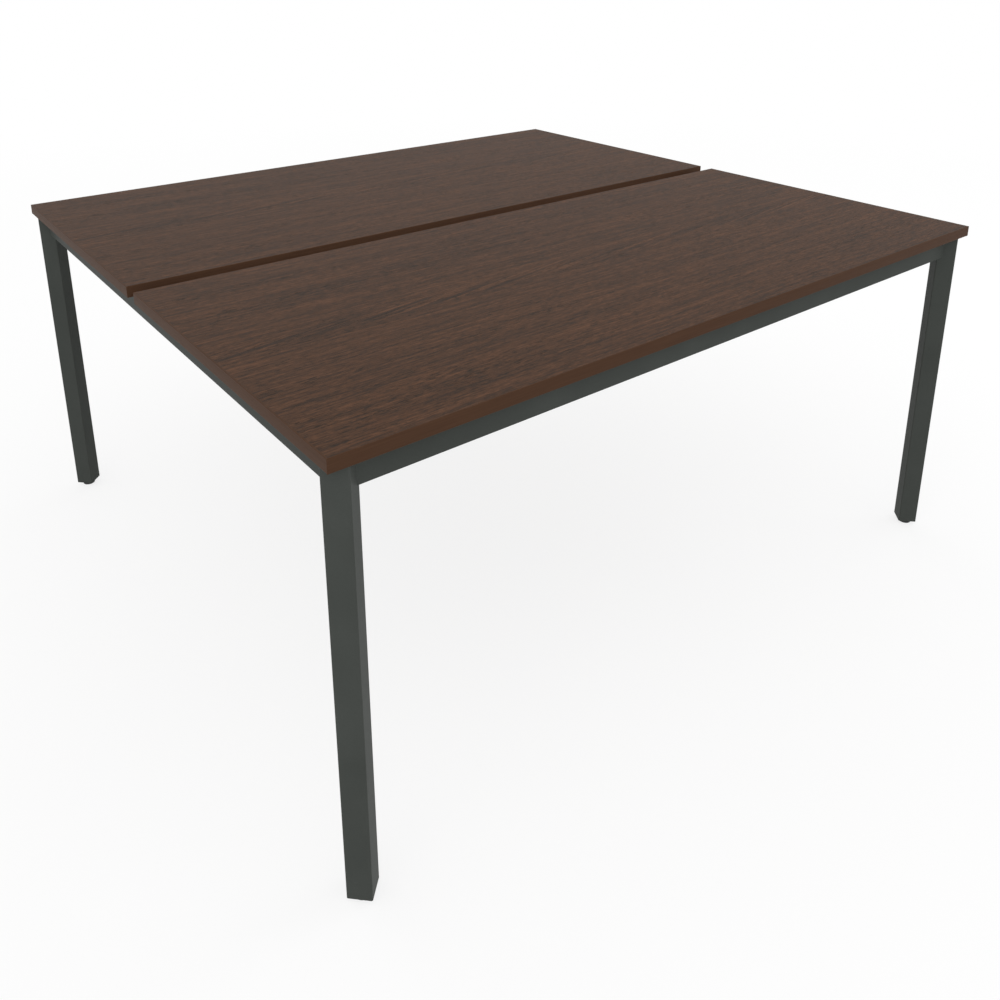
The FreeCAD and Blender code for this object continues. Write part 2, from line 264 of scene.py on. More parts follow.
@dataclass(frozen=True)
class WoodDecor:
    """The printed dark wood on both faces of the boards, matt, with embossed pores."""

    board_middle: float = 0.383
    half_length: float = 0.798
    half_depth: float = 0.362
    seam: float = 0.0004
    dark: Colour = srgb(52, 39, 31)
    brown: Colour = srgb(71, 49, 35)
    warm: Colour = srgb(92, 63, 45)
    pore: Colour = srgb(36, 31, 25)
    steps: Steps = ((0.40, 0.52), (0.49, 0.64))
    roughness: float = 0.56
    gloss: float = 0.075
    pore_depth: float = 0.0001

    # Two slow noises bend the lines of the grain sideways, by up to half their reach.
    drift: Cells = Cells(1.1, 7.0, 60.0, 1.0, 0.5, 20.0)
    drift_reach: float = 0.018
    wave: Cells = Cells(6.0, 34.0, 60.0, 2.0, 0.5, 25.0)
    wave_reach: float = 0.004

    # Streaks of three lengths, leaning ones, broad bands and grit make the tone.
    long: Cells = Cells(2.2, 175.0, 60.0, 4.0, 0.66, 20.0)
    short: Cells = Cells(11.0, 260.0, 60.0, 4.0, 0.7, 28.0)
    dash: Cells = Cells(40.0, 310.0, 60.0, 3.0, 0.7, 22.0)
    leaning: Cells = Cells(4.5, 170.0, 60.0, 4.0, 0.64, 29.0)
    band: Cells = Cells(1.6, 30.0, 60.0, 2.0, 0.5, 21.0)
    band_strength: float = 0.08
    band_slope: float = 0.07
    grit: Cells = Cells(90.0, 320.0, 60.0, 3.0, 0.75, 20.0)
    grit_strength: float = 0.35

    # Dark flecks and pores gather in clusters and in rows.
    cluster: Cells = Cells(2.4, 26.0, 60.0, 2.0, 0.5, 26.0)
    cluster_strength: float = 0.24
    fleck: Cells = Cells(55.0, 210.0, 60.0, 2.0, 0.6, 24.0)
    pit: Cells = Cells(55.0, 1100.0, 60.0, 1.0, 0.5, 27.0)

    # Middle and half width across the board, and strength, of each row.
    fleck_rows: tuple[tuple[float, float, float], ...] = (
        (-0.300, 0.030, 0.136),
        (-0.258, 0.016, 0.272),
        (-0.165, 0.018, 0.204),
        (0.000, 0.022, 0.204),
        (0.172, 0.014, 0.340),
        (0.275, 0.022, 0.238),
    )
    # The flame is a strip along the board whose grain leans.
    flame_edge: Cells = Cells(4.0, 10.0, 60.0, 2.0, 0.5, 23.0)
    flame_fray: float = 0.03
    flame_start: tuple[float, float] = (-0.012, 0.008)
    flame_end: tuple[float, float] = (0.045, 0.020)
    flame_slope: float = 0.15

    def material(self) -> bpy.types.Material:
        """The decor as a material.

        Returns:
            The new material.
        """
        graph = Surface("wood_decor")
        x, z = graph.x, graph.z
        across = graph.y - graph.y.sign() * self.board_middle
        drift = (graph.noise(self.drift, x, across, z) - 0.5) * self.drift_reach
        wave = (graph.noise(self.wave, x, across, z) - 0.5) * self.wave_reach
        line = across + drift + wave
        point = (x, line, z)

        long = graph.noise(self.long, *point)
        short = graph.noise(self.short, *point)
        dash = graph.noise(self.dash, *point)
        straight = long * 0.34 + short * 0.33 + dash * 0.33
        leaning = graph.noise(self.leaning, x, line - x * self.flame_slope, z)
        spot = line + graph.noise(self.flame_edge, x, across, z) * self.flame_fray
        flame = spot.rise(*self.flame_start) * spot.rise(*self.flame_end)
        streak = straight + (leaning - straight) * flame

        band = graph.noise(self.band, *point) - 0.5
        grit = graph.noise(self.grit, *point) - 0.5
        tone = streak + band * (self.band_strength + x * self.band_slope) + grit * self.grit_strength

        rows = graph.noise(self.cluster, *point) - 0.5
        for middle, half, strength in self.fleck_rows:
            rows = rows + (line - middle).distance().rise(half, half * 0.2) * strength
        flecks = (graph.noise(self.fleck, *point) + rows * self.cluster_strength).rise(0.60, 0.72)
        pores = graph.noise(self.pit, *point).rise(0.58, 0.68) * (0.5 + rows.rise(-0.1, 0.3) * 0.5)
        seam = x.distance().rise(self.half_length - self.seam, self.half_length)
        seam = seam.larger(across.distance().rise(self.half_depth - self.seam, self.half_depth))

        colour = graph.shades(tone, (self.dark, self.brown, self.warm), self.steps)
        for share in (flecks * 0.62, pores * 0.7, seam * 0.7):
            colour = graph.mix(share, colour, self.pore)
        roughness = self.roughness + pores * 0.15 + (tone - 0.5) * 0.1
        height = 1.0 - (pores * 0.7 + flecks * 0.3)
        return graph.finish(colour, roughness, height, self.pore_depth, self.gloss)


@dataclass(frozen=True)
class EdgeBand:
    """The 2 mm edging that closes the boards, in the decor's brown with a faint grain along it."""

    run: Run
    gloss: float
    brown: Colour = srgb(71, 50, 37)
    light: Colour = srgb(76, 54, 40)
    deep: Colour = srgb(66, 46, 34)
    rubbed: Colour = srgb(92, 68, 53)
    roughness: float = 0.5
    high_arris: tuple[float, float] = (0.7589, 0.7599)
    low_arris: tuple[float, float] = (0.7391, 0.7381)
    grain: Cells = Cells(9.0, 700.0, 700.0, 3.0, 0.6)
    cloud: Cells = Cells(5.0, 30.0, 5.0, 1.0)
    scuff: Cells = Cells(60.0, 200.0, 200.0, 3.0, 0.7)
    peel: Cells = Cells(600.0, 600.0, 600.0)
    peel_depth: float = 0.00004

    def material(self) -> bpy.types.Material:
        """The edging as a material.

        Returns:
            The new material.
        """
        graph = Surface(f"edge_band_{self.run.value}")
        x, y, z = graph.x, graph.y, graph.z
        point = (x, z, y) if self.run is Run.ALONG_X else (y, z, x)
        grain = graph.noise(self.grain, *point)
        cloud = graph.noise(self.cloud, *point)
        colour = graph.mix(grain.rise(0.35, 0.65), self.deep, self.light)
        colour = graph.mix(0.45 + (cloud - 0.5) * 0.4, colour, self.brown)
        scuff = graph.noise(self.scuff, *point).rise(0.52, 0.68)
        arris = z.rise(*self.high_arris) + z.rise(*self.low_arris)
        colour = graph.mix(scuff * arris * 0.35, colour, self.rubbed)
        peel = graph.noise(self.peel)
        roughness = self.roughness + (peel - 0.5) * 0.15 + scuff * 0.05
        return graph.finish(colour, roughness, peel + grain * 0.5, self.peel_depth, self.gloss)


@dataclass(frozen=True)
class PowderCoat:
    """The frame's dark grey paint: a fine orange peel, and faint scuffs low down where shoes reach."""

    grey: Colour = srgb(66, 69, 66)
    pale: Colour = srgb(71, 74, 71)
    deep: Colour = srgb(62, 65, 62)
    scuffed: Colour = srgb(92, 95, 92)
    steps: Steps = ((0.30, 0.50), (0.50, 0.72))
    roughness: float = 0.42
    gloss: float = 0.018
    cloud: Cells = Cells(9.0, 9.0, 9.0)
    speck: Cells = Cells(900.0, 900.0, 900.0, 2.0, 0.7)
    peel: Cells = Cells(420.0, 420.0, 420.0)
    peel_depth: float = 0.00005
    scratch: Cells = Cells(60.0, 60.0, 420.0, 3.0, 0.6)
    patch: Cells = Cells(14.0, 14.0, 30.0, 1.0)
    scuff_heights: tuple[float, float] = (0.16, 0.04)

    def material(self) -> bpy.types.Material:
        """The paint as a material.

        Returns:
            The new material.
        """
        graph = Surface("frame_paint_coat")
        speck = graph.noise(self.speck)
        tone = graph.noise(self.cloud) * 0.5 + speck * 0.5
        colour = graph.shades(tone, (self.deep, self.grey, self.pale), self.steps)
        scratch = graph.noise(self.scratch).rise(0.60, 0.68)
        patch = graph.noise(self.patch).rise(0.52, 0.66)
        scuff = scratch * patch * graph.z.rise(*self.scuff_heights)
        colour = graph.mix(scuff * 0.2, colour, self.scuffed)
        roughness = self.roughness + (speck - 0.5) * 0.2 + scuff * 0.1
        height = graph.noise(self.peel) + speck * 0.3
        return graph.finish(colour, roughness, height, self.peel_depth, self.gloss)


@dataclass(frozen=True)
class ZincPlate:
    """Bright zinc plating on the screws, nuts and studs, with a faint warm and blue cast."""

    steel: Colour = srgb(196, 198, 200)
    blue: Colour = srgb(176, 186, 200)
    straw: Colour = srgb(204, 196, 172)
    dull: Colour = srgb(150, 150, 148)
    steps: Steps = ((0.30, 0.50), (0.50, 0.72))
    roughness: float = 0.34
    cast: Cells = Cells(70.0, 70.0, 70.0)
    grain: Cells = Cells(1500.0, 1500.0, 1500.0, 2.0, 0.7)
    grain_depth: float = 0.00001
    spot: Cells = Cells(300.0, 300.0, 300.0, 3.0, 0.6)

    def material(self) -> bpy.types.Material:
        """The plating as a material.

        Returns:
            The new material.
        """
        graph = Surface("zinc_plate")
        grain = graph.noise(self.grain)
        spots = graph.noise(self.spot).rise(0.55, 0.70)
        colour = graph.shades(graph.noise(self.cast), (self.blue, self.steel, self.straw), self.steps)
        colour = graph.mix(spots * 0.5, colour, self.dull)
        roughness = self.roughness + (grain - 0.5) * 0.2 + spots * 0.15
        return graph.finish(colour, roughness, grain, self.grain_depth, metallic=1.0)


@dataclass(frozen=True)
class MouldedPlastic:
    """Spark-textured moulded plastic."""

    name: str
    ground: Colour
    worn: Colour
    roughness: float
    cells: float
    gloss: float = 0.4
    cloud: Cells = Cells(80.0, 80.0, 80.0)
    rub: Cells = Cells(240.0, 240.0, 120.0, 3.0, 0.7)
    grain_depth: float = 0.00003

    def material(self) -> bpy.types.Material:
        """The plastic as a material.

        Returns:
            The new material.
        """
        graph = Surface(self.name)
        grain = graph.noise(Cells(self.cells, self.cells, self.cells, 2.0, 0.6))
        cloud = graph.noise(self.cloud)
        rub = graph.noise(self.rub).rise(0.52, 0.70)
        colour = graph.mix(rub * 0.35 + (cloud - 0.4) * 0.2, self.ground, self.worn)
        roughness = self.roughness + (grain - 0.5) * 0.2 - rub * 0.06
        return graph.finish(colour, roughness, grain, self.grain_depth, self.gloss)


@dataclass
class Shape:
    """The points and faces of a piece while it is made."""

    points: list[Vector] = field(default_factory=list)
    faces: list[tuple[int, ...]] = field(default_factory=list)

    def add(self, other: "Shape", place: Matrix = ORIGIN) -> "Shape":
        """Adds a copy of another shape.

        Args:
            other: The shape that is copied.
            place: Where the copy goes. It may be a mirrored place.

        Returns:
            This shape.
        """
        start = len(self.points)
        self.points.extend(place @ point for point in other.points)
        way = -1 if place.determinant() < 0 else 1
        self.faces.extend(tuple(start + k for k in face[::way]) for face in other.faces)
        return self

    def at(self, *places: Matrix) -> "Shape":
        """Copies of this shape as one shape.

        Args:
            places: Where the copies go.

        Returns:
            The copies.
        """
        copies = Shape()
        for place in places:
            copies.add(self, place)
        return copies

    def mesh(self, name: str) -> bpy.types.Mesh:
        """The shape as a Blender mesh.

        Args:
            name: The mesh's name.

        Returns:
            The mesh, with faces smooth and edges over the sharp angle left sharp.
        """
        data = bpy.data.meshes.new(name)
        data.from_pydata([tuple(point) for point in self.points], [], self.faces)
        data.validate()
        data.shade_smooth()
        data.set_sharp_from_angle(angle=math.radians(32))
        return data

    def worked(self, work: Callable[[bmesh.types.BMesh], None]) -> "Shape":
        """The shape after work on it as a bmesh.

        Args:
            work: What is done to the bmesh.

        Returns:
            A new shape.
        """
        data = self.mesh("scratch")
        mesh = bmesh.new()
        mesh.from_mesh(data)
        bpy.data.meshes.remove(data)
        work(mesh)
        mesh.verts.index_update()
        faces = [tuple(vert.index for vert in face.verts) for face in mesh.faces]
        done = Shape([vert.co.copy() for vert in mesh.verts], faces)
        mesh.free()
        return done


def skinned(rings: Sequence[Sequence[Vector]], looped: bool = False) -> Shape:
    """Joins closed rings of equally many points, and closes the two ends.

    Args:
        rings: The rings in order, each anticlockwise as seen from the last ring.
        looped: True if the last ring joins the first one and there are no ends.

    Returns:
        The shape.
    """
    points = [point for one in rings for point in one]
    count = len(rings[0])
    last = len(points) - count
    faces = []
    for low in range(0, len(points) if looped else last, count):
        high = (low + count) % len(points)
        for j in range(count):
            n = (j + 1) % count
            faces.append((low + j, low + n, high + n, high + j))
    if not looped:
        faces += [tuple(reversed(range(count))), tuple(range(last, last + count))]
    return Shape(points, faces)


def spoke(turn: float, radius: float, height: float = 0.0) -> Vector:
    """The point at an angle and a radius about the Z axis, and at a height."""
    return Vector((radius * math.cos(turn), radius * math.sin(turn), height))


def ring(radius: float, height: float, steps: int = SIDES) -> list[Vector]:
    """A round ring of points about the Z axis."""
    return [spoke(FULL_TURN * k / steps, radius, height) for k in range(steps)]


def turned(profile: Outline, steps: int = SIDES) -> Shape:
    """A body of revolution, from the radius and height of its rings, bottom face first."""
    return skinned([ring(radius, height, steps) for radius, height in profile])


def prism(outline: Outline, low: float, high: float) -> Shape:
    """An upright prism on an outline that runs anticlockwise as seen from above."""
    return skinned([[Vector((x, y, z)) for x, y in outline] for z in (low, high)])


def upright(outline: Outline, low: float, high: float, edge: float) -> Shape:
    """A prism with its sharp edges broken by a size."""
    return prism(outline, low, high).worked(lambda mesh: break_edges(mesh, edge))


def aimed(origin: Vector, way: Vector) -> Matrix:
    """The place at an origin whose Z axis points along a direction."""
    return Matrix.Translation(origin) @ way.to_track_quat("Z", "Y").to_matrix().to_4x4()


def linked(name: str, data: Any) -> bpy.types.Object:
    """A new object in the scene.

    Args:
        name: The object's name.
        data: Its mesh, camera or lamp.

    Returns:
        The object.
    """
    made = bpy.data.objects.new(name, data)
    bpy.context.scene.collection.objects.link(made)
    return made


def hexagonal(flats: float, low: float, high: float, bore: float = 0.0, dished: float = 0.0) -> Shape:
    """A hexagon head or nut on the Z axis, whose corners a flat cone has turned down at both ends.

    Args:
        flats: The width across flats.
        low: The height of the lower end.
        high: The height of the upper end.
        bore: The radius of the hole, or nought for a head.
        dished: How deep the upper face of a head is dished.

    Returns:
        The shape.
    """
    reach = flats / 2
    face = reach * 0.93
    slope = math.tan(math.radians(30))
    edges = []
    for height, way in ((low, -1), (high, 1)):
        edge = []
        for turn in (FULL_TURN * k / SIDES for k in range(SIDES)):
            radius = reach / math.cos((turn + math.pi / 6) % (math.pi / 3) - math.pi / 6)
            edge.append(spoke(turn, radius, height - way * (radius - face) * slope))
        edges.append(edge)
    lead = bore * 0.12
    inner = []
    if bore:
        inner = [(bore + lead, high), (bore, high - lead), (bore, low + lead), (bore + lead, low)]
    elif dished:
        inner = [(face * 0.72, high), (face * 0.55, high - dished), (face * 0.1, high - dished)]
    rings = [ring(face, low), *edges, ring(face, high), *(ring(*place) for place in inner)]
    return skinned(rings, looped=bool(bore))


def sealed(mesh: bmesh.types.BMesh) -> None:
    """Joins a bmesh's doubled points, closes its open ends and turns its faces outward.

    Args:
        mesh: The bmesh.
    """
    near = 0.002 * MM
    bmesh.ops.remove_doubles(mesh, verts=mesh.verts, dist=near)
    bmesh.ops.dissolve_degenerate(mesh, dist=near, edges=mesh.edges)
    bmesh.ops.holes_fill(mesh, edges=[edge for edge in mesh.edges if edge.is_boundary], sides=0)
    turned_outward(mesh)


def turned_outward(mesh: bmesh.types.BMesh) -> None:
    """Turns a bmesh's faces outward."""
    bmesh.ops.recalc_face_normals(mesh, faces=mesh.faces)


def break_edges(mesh: bmesh.types.BMesh, size: float) -> None:
    """Bevels every edge of a bmesh whose faces turn by more than forty degrees.

    Args:
        mesh: The bmesh.
        size: The bevel's width.
    """
    sharp = [edge for edge in mesh.edges if edge.calc_face_angle(0.0) > math.radians(40)]
    settings = {"offset": size, "segments": 2, "profile": 0.5, "affect": "EDGES", "clamp_overlap": True}
    bmesh.ops.bevel(mesh, geom=sharp, **settings)


def rounded(outline: Sequence[tuple[float, float, float]]) -> Outline:
    """Rounds the corners of a closed outline.

    Args:
        outline: X, Y and corner radius of each point.

    Returns:
        The points of the rounded outline.
    """
    steps = 6
    points = []
    for k, (x, y, radius) in enumerate(outline):
        if not radius:
            points.append((x, y))
            continue
        here = Vector((x, y))
        back = (Vector(outline[k - 1][:2]) - here).normalized()
        on = (Vector(outline[(k + 1) % len(outline)][:2]) - here).normalized()
        half = back.angle(on) / 2
        centre = here + (back + on).normalized() * (radius / math.sin(half))
        start = (here + back * (radius / math.tan(half)) - centre).normalized()
        end = (here + on * (radius / math.tan(half)) - centre).normalized()
        spots = (centre + start.slerp(end, step / steps) * radius for step in range(steps + 1))
        points.extend((spot.x, spot.y) for spot in spots)
    return points


def weld_bead(start: Vector, end: Vector, first: Vector, second: Vector, size: float) -> Shape:
    """A rippled fillet weld in the corner between two faces.

    Args:
        start: One end of the corner's line.
        end: The other end of it.
        first: The direction from the corner along one face.
        second: The direction from the corner along the other face.
        size: The weld's leg.

    Returns:
        The shape.
    """
    ripple = 0.0016
    length = (end - start).length
    count = max(8, round(length / ripple) * 4)
    rings = []
    for k in range(count + 1):
        share = k / count
        taper = min(1.0, 6 * min(share, 1 - share) + 0.35)
        leg = size * taper * (1 + 0.13 * math.cos(FULL_TURN * share * length / ripple))
        middle = start.lerp(end, share)
        arc = [middle + (first + second) * (-0.1 * size)]
        for step in range(6):
            turn = math.pi / 2 * step / 5
            bulge = leg * (0.72 + 0.28 * abs(math.cos(2 * turn)))
            arc.append(middle + first * (math.cos(turn) * bulge) + second * (math.sin(turn) * bulge))
        rings.append(arc)
    return skinned(rings).worked(turned_outward)


def carved(shape: Shape, cutters: Sequence[Shape]) -> Shape:
    """A shape with others cut out of it.

    Args:
        shape: What is cut.
        cutters: What is cut away.

    Returns:
        The new shape.
    """
    target = linked("target", shape.mesh("target"))
    tools = [linked(f"tool_{k}", cutter.mesh(f"tool_{k}")) for k, cutter in enumerate(cutters)]
    for tool in tools:
        cut = target.modifiers.new(tool.name, "BOOLEAN")
        cut.operation = "DIFFERENCE"
        cut.solver = "EXACT"
        cut.object = tool
    bpy.context.view_layer.update()
    result = target.evaluated_get(bpy.context.evaluated_depsgraph_get()).to_mesh()
    faces = [tuple(face.vertices) for face in result.polygons]
    done = Shape([vert.co.copy() for vert in result.vertices], faces)
    for made in [target, *tools]:
        data = made.data
        bpy.data.objects.remove(made)
        bpy.data.meshes.remove(data)
    return done


@dataclass(frozen=True)
class Thread:
    """A right-hand screw thread: the radius of its crests, its depth, and the rise of one turn."""

    crest: float
    depth: float
    pitch: float

    def rod(self, low: float, high: float, steps: int = 24) -> Shape:
        """A threaded rod on the Z axis, cut off square at both ends.

        Args:
            low: The height of the lower end.
            high: The height of the upper end.
            steps: How many points each turn has.

        Returns:
            The shape.
        """
        root = self.crest - self.depth
        stages = ((0.0, root), (0.42, self.crest), (0.58, self.crest))
        turns = math.ceil((high - low) / self.pitch) + 1
        columns = steps + 1
        points = []
        for start in range(-1, turns):
            for share, radius in stages:
                for k in range(columns):
                    height = low + (start + share + k / steps) * self.pitch
                    size = radius if low < height < high else root
                    points.append(spoke(FULL_TURN * k / steps, size, min(max(height, low), high)))
        firsts = [n for n in range(len(points) - columns) if n % columns < steps]
        faces = [(n, n + 1, n + 1 + columns, n + columns) for n in firsts]
        return Shape(points, faces).worked(sealed)


@dataclass(frozen=True)
class Dress:
    """A finish once it is made: its material and the name of the slot that it belongs to."""

    material: bpy.types.Material
    slot: str

    def on_nodes(self, *names: str) -> None:
        """Gives the finish to CAD nodes, whose shapes stay as they are.

        Args:
            names: The names of the nodes.
        """
        for name in names:
            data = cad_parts[name].data
            for k in range(len(data.materials)):
                data.materials[k] = self.material

    def piece(self, node: str, word: str, shape: Shape, body: str = "desk", stands_in: bool = True) -> None:
        """Makes a piece of the desk in this finish.

        Args:
            node: The CAD node that it stands in for, or the first words of its name.
            word: The last word of its name.
            shape: Its shape, in the desk's frame.
            body: The CAD body that it rides on.
            stands_in: False if no CAD node gives way to it.
        """
        name = f"{node}_{word}"
        made = linked(name, shape.mesh(name))
        made.data.materials.append(self.material)
        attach(made, body)
        if stands_in:
            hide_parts(node)
        log.info("%s: %d faces on %s", name, len(made.data.polygons), body)


class Finishes:
    """Every finish of the desk, each made once."""

    def __init__(self) -> None:
        """Makes the materials."""
        plug = MouldedPlastic("plug_plastic", srgb(38, 38, 39), srgb(56, 56, 57), roughness=0.5, cells=1400.0)
        pad = MouldedPlastic("pad_plastic", srgb(46, 47, 47), srgb(72, 73, 73), roughness=0.55, cells=900.0)
        self.decor = Dress(WoodDecor().material(), "top_board")
        self.long_band = Dress(EdgeBand(Run.ALONG_X, gloss=0.03).material(), "edge_band")
        self.short_band = Dress(EdgeBand(Run.ALONG_Y, gloss=0.045).material(), "edge_band")
        self.paint = Dress(PowderCoat().material(), "frame_paint")
        self.zinc = Dress(ZincPlate().material(), "zinc_steel")
        self.plug = Dress(plug.material(), "black_plastic")
        self.pad = Dress(pad.material(), "foot_plastic")


@dataclass(frozen=True)
class Corner:
    """One corner of the frame, with U and V counted inward from its leg."""

    row: Row
    side: Side
    leg_x: float = 767.516 * MM
    leg_y: float = 714.516 * MM

    @property
    def name(self) -> str:
        """The corner's name as the CAD nodes have it."""
        return f"{self.row.name}_{self.side.name}".lower()

    @property
    def leg(self) -> Vector:
        """The middle of the leg on the floor."""
        return Vector((self.side.value * self.leg_x, self.row.value * self.leg_y, 0.0))

    @property
    def diagonal(self) -> Vector:
        """The level direction from the leg towards the desk's middle."""
        return Vector((-self.side.value, -self.row.value, 0.0)).normalized()

    def at(self, u: float, v: float, z: float) -> Vector:
        """The point at U and V inward from the leg's middle, at a height."""
        return self.leg + Vector((-self.side.value * u, -self.row.value * v, z))

    def inward(self) -> Matrix:
        """The place that maps U, V and Z to the desk's frame."""
        return Matrix.Translation(self.leg) @ Matrix.Diagonal((-self.side.value, -self.row.value, 1.0, 1.0))


CORNERS = [Corner(row, side) for row in Row for side in Side]


@dataclass
class WorkTop:
    """One of the two tops: a decor board with an edge band on each of its four sides."""

    row: Row
    finishes: Finishes
    length: float = 1600 * MM
    depth: float = 728 * MM
    thickness: float = 22 * MM
    height: float = 760 * MM
    gap: float = 38 * MM
    band: float = 2 * MM
    arris: float = 0.9 * MM

    def round_face(self, mesh: bmesh.types.BMesh, outward: Vector) -> None:
        """Rounds the edges of a band's outer face, also the upright ones if it is a long band.

        Args:
            mesh: The band.
            outward: The direction that the face looks in.
        """
        mesh.normal_update()
        face = max(mesh.faces, key=lambda one: one.normal.dot(outward))
        level = [edge for edge in face.edges if abs((edge.verts[0].co - edge.verts[1].co).z) < MM]
        edges = level if outward.x else list(face.edges)
        bmesh.ops.bevel(mesh, geom=edges, offset=self.arris, segments=5, profile=0.5, affect="EDGES")

    def edge_band(self, place: str, xs: Sequence[float], ys: Sequence[float], outward: Vector) -> None:
        """Makes one band.

        Args:
            place: Which band it is, as its CAD node has it.
            xs: The X of its two sides.
            ys: The Y of its two sides.
            outward: The direction that its outer face looks in.
        """
        (left, right), (front, rear) = sorted(xs), sorted(ys)
        corners = ((left, front), (right, front), (right, rear), (left, rear))
        block = prism(corners, self.height - self.thickness, self.height)
        shape = block.worked(lambda mesh: self.round_face(mesh, outward))
        dress = self.finishes.short_band if outward.x else self.finishes.long_band
        dress.piece(f"{self.row.name}_top_{place}_band".lower(), "edging", shape)

    def build(self) -> None:
        """Makes the four bands and dresses the board."""
        near = self.gap / 2
        far = near + self.depth
        sign = self.row.value
        half = self.length / 2
        for place, level, way in (("outer", far - self.band, 1), ("gap", near, -1)):
            ys = (sign * level, sign * (level + self.band))
            self.edge_band(place, (-half, half), ys, Vector((0, sign * way, 0)))
        ys = (sign * (near + self.band), sign * (far - self.band))
        for side in Side:
            xs = (side.value * half, side.value * (half - self.band))
            self.edge_band(side.name, xs, ys, Vector((side.value, 0, 0)))
        self.finishes.decor.on_nodes(f"{self.row.name}_top_board".lower())
        log.info("%s top dressed", self.row.name)


@dataclass
class TubeFrame:
    """The legs and beams, and the plain fasteners in them, whose CAD shapes stay."""

    finishes: Finishes

    def build(self) -> None:
        """Paints the tubes, and plates their rivet nuts, nut plates and washers."""
        tubes = [f"{corner.name}_leg" for corner in CORNERS]
        tubes += [f"{word}_beam" for word in ("front", "rear", "left", "right", "front_inner", "rear_inner")]
        self.finishes.paint.on_nodes(*tubes)
        self.finishes.zinc.on_nodes("corner_rivet_nuts", "end_plate_rivet_nuts")
        self.finishes.zinc.on_nodes("leg_nut_plates", "leg_washers")
        log.info("tubes dressed: %s", ", ".join(tubes))


@dataclass(frozen=True)
class PlateForm:
    """The sizes of a corner plate that its screws and the leg's rods share."""

    thickness: float = 4 * MM
    middle: float = 714 * MM
    reach: float = 45 * MM
    wing: float = 46 * MM
    beam_half: float = 8 * MM

    @property
    def bend(self) -> float:
        """How far the bend lies from the leg's middle, along the beam's face."""
        return self.reach * math.sqrt(2) - self.beam_half

    @property
    def seat(self) -> float:
        """How far a wing's inner face lies from the beam's middle."""
        return self.beam_half + self.thickness


@dataclass
class Fasteners:
    """The machine screws, threaded rods and nuts that hold the frame together."""

    finishes: Finishes
    plate: PlateForm = PlateForm()
    rod_thread: Thread = Thread(4 * MM, 0.7 * MM, 1.25 * MM)
    rod_start: float = 12 * MM
    rod_end: float = 60.1 * MM
    rod_spacing: float = 20 * MM
    washer: float = 1.6 * MM
    nut_flats: float = 13 * MM
    nut_height: float = 6.5 * MM
    nut_room: float = 0.05 * MM
    screw_thread: Thread = Thread(3 * MM, 0.55 * MM, 1.0 * MM)
    screw_length: float = 14 * MM
    screw_edge: float = 12 * MM
    head_flats: float = 10 * MM
    head_height: float = 4 * MM
    head_dish: float = 0.5 * MM
    overlap: float = 0.2 * MM
    end_beam_face: float = 759.516 * MM
    end_plate: float = 4 * MM
    inner_beam_y: float = 87 * MM
    inner_beam_middle: float = 718 * MM
    end_screw_spacing: float = 48 * MM

    def machine_screw(self) -> Shape:
        """A hexagon screw with its seat at the origin and its head upward."""
        head = hexagonal(self.head_flats, 0.0, self.head_height, dished=self.head_dish)
        return head.add(self.screw_thread.rod(-self.screw_length, self.overlap, steps=16))

    def wing_places(self, corner: Corner) -> list[Matrix]:
        """Where the four screws of a corner plate sit.

        Args:
            corner: The corner.

        Returns:
            The screws' places.
        """
        seat, middle, bend = self.plate.seat, self.plate.middle, self.plate.bend
        places = []
        for far in (bend + self.screw_edge, bend + self.plate.wing - self.screw_edge):
            places.append(aimed(corner.at(far, seat, middle), Vector((0, -corner.row.value, 0))))
            places.append(aimed(corner.at(seat, far, middle), Vector((-corner.side.value, 0, 0))))
        return places

    def rod_places(self, corner: Corner, distance: float) -> list[Matrix]:
        """Where something sits on the two rods of a corner.

        Args:
            corner: The corner.
            distance: How far it is from the leg's middle.

        Returns:
            The two places, with Z along the rods.
        """
        heights = (self.plate.middle + step * self.rod_spacing / 2 for step in (-1, 1))
        start = corner.leg + corner.diagonal * distance
        return [aimed(start + Vector((0, 0, z)), corner.diagonal) for z in heights]

    def end_places(self) -> list[Matrix]:
        """Where the screws of the inner beams' end plates sit.

        Returns:
            The screws' places.
        """
        places = []
        for corner in CORNERS:
            x = corner.side.value * (self.end_beam_face - self.end_plate)
            for step in (-1, 1):
                y = corner.row.value * self.inner_beam_y + step * self.end_screw_spacing / 2
                seat = Vector((x, y, self.inner_beam_middle))
                places.append(aimed(seat, Vector((-corner.side.value, 0, 0))))
        return places

    def build(self) -> None:
        """Makes every screw, rod and nut of the frame."""
        zinc = self.finishes.zinc
        screw = self.machine_screw()
        rod = self.rod_thread.rod(0.0, self.rod_end - self.rod_start)
        nut = hexagonal(self.nut_flats, 0.0, self.nut_height, bore=self.rod_thread.crest + self.nut_room)
        nut_seat = self.plate.reach + self.plate.thickness + self.washer
        nut_places = []
        for corner in CORNERS:
            zinc.piece(f"{corner.name}_plate_screws", "hexagon", screw.at(*self.wing_places(corner)))
            rods = rod.at(*self.rod_places(corner, self.rod_start))
            zinc.piece(f"{corner.name}_leg_bolts", "threaded", rods)
            nut_places += self.rod_places(corner, nut_seat)
        zinc.piece("leg_nuts", "chamfered", nut.at(*nut_places))
        zinc.piece("end_plate_screws", "hexagon", screw.at(*self.end_places()))


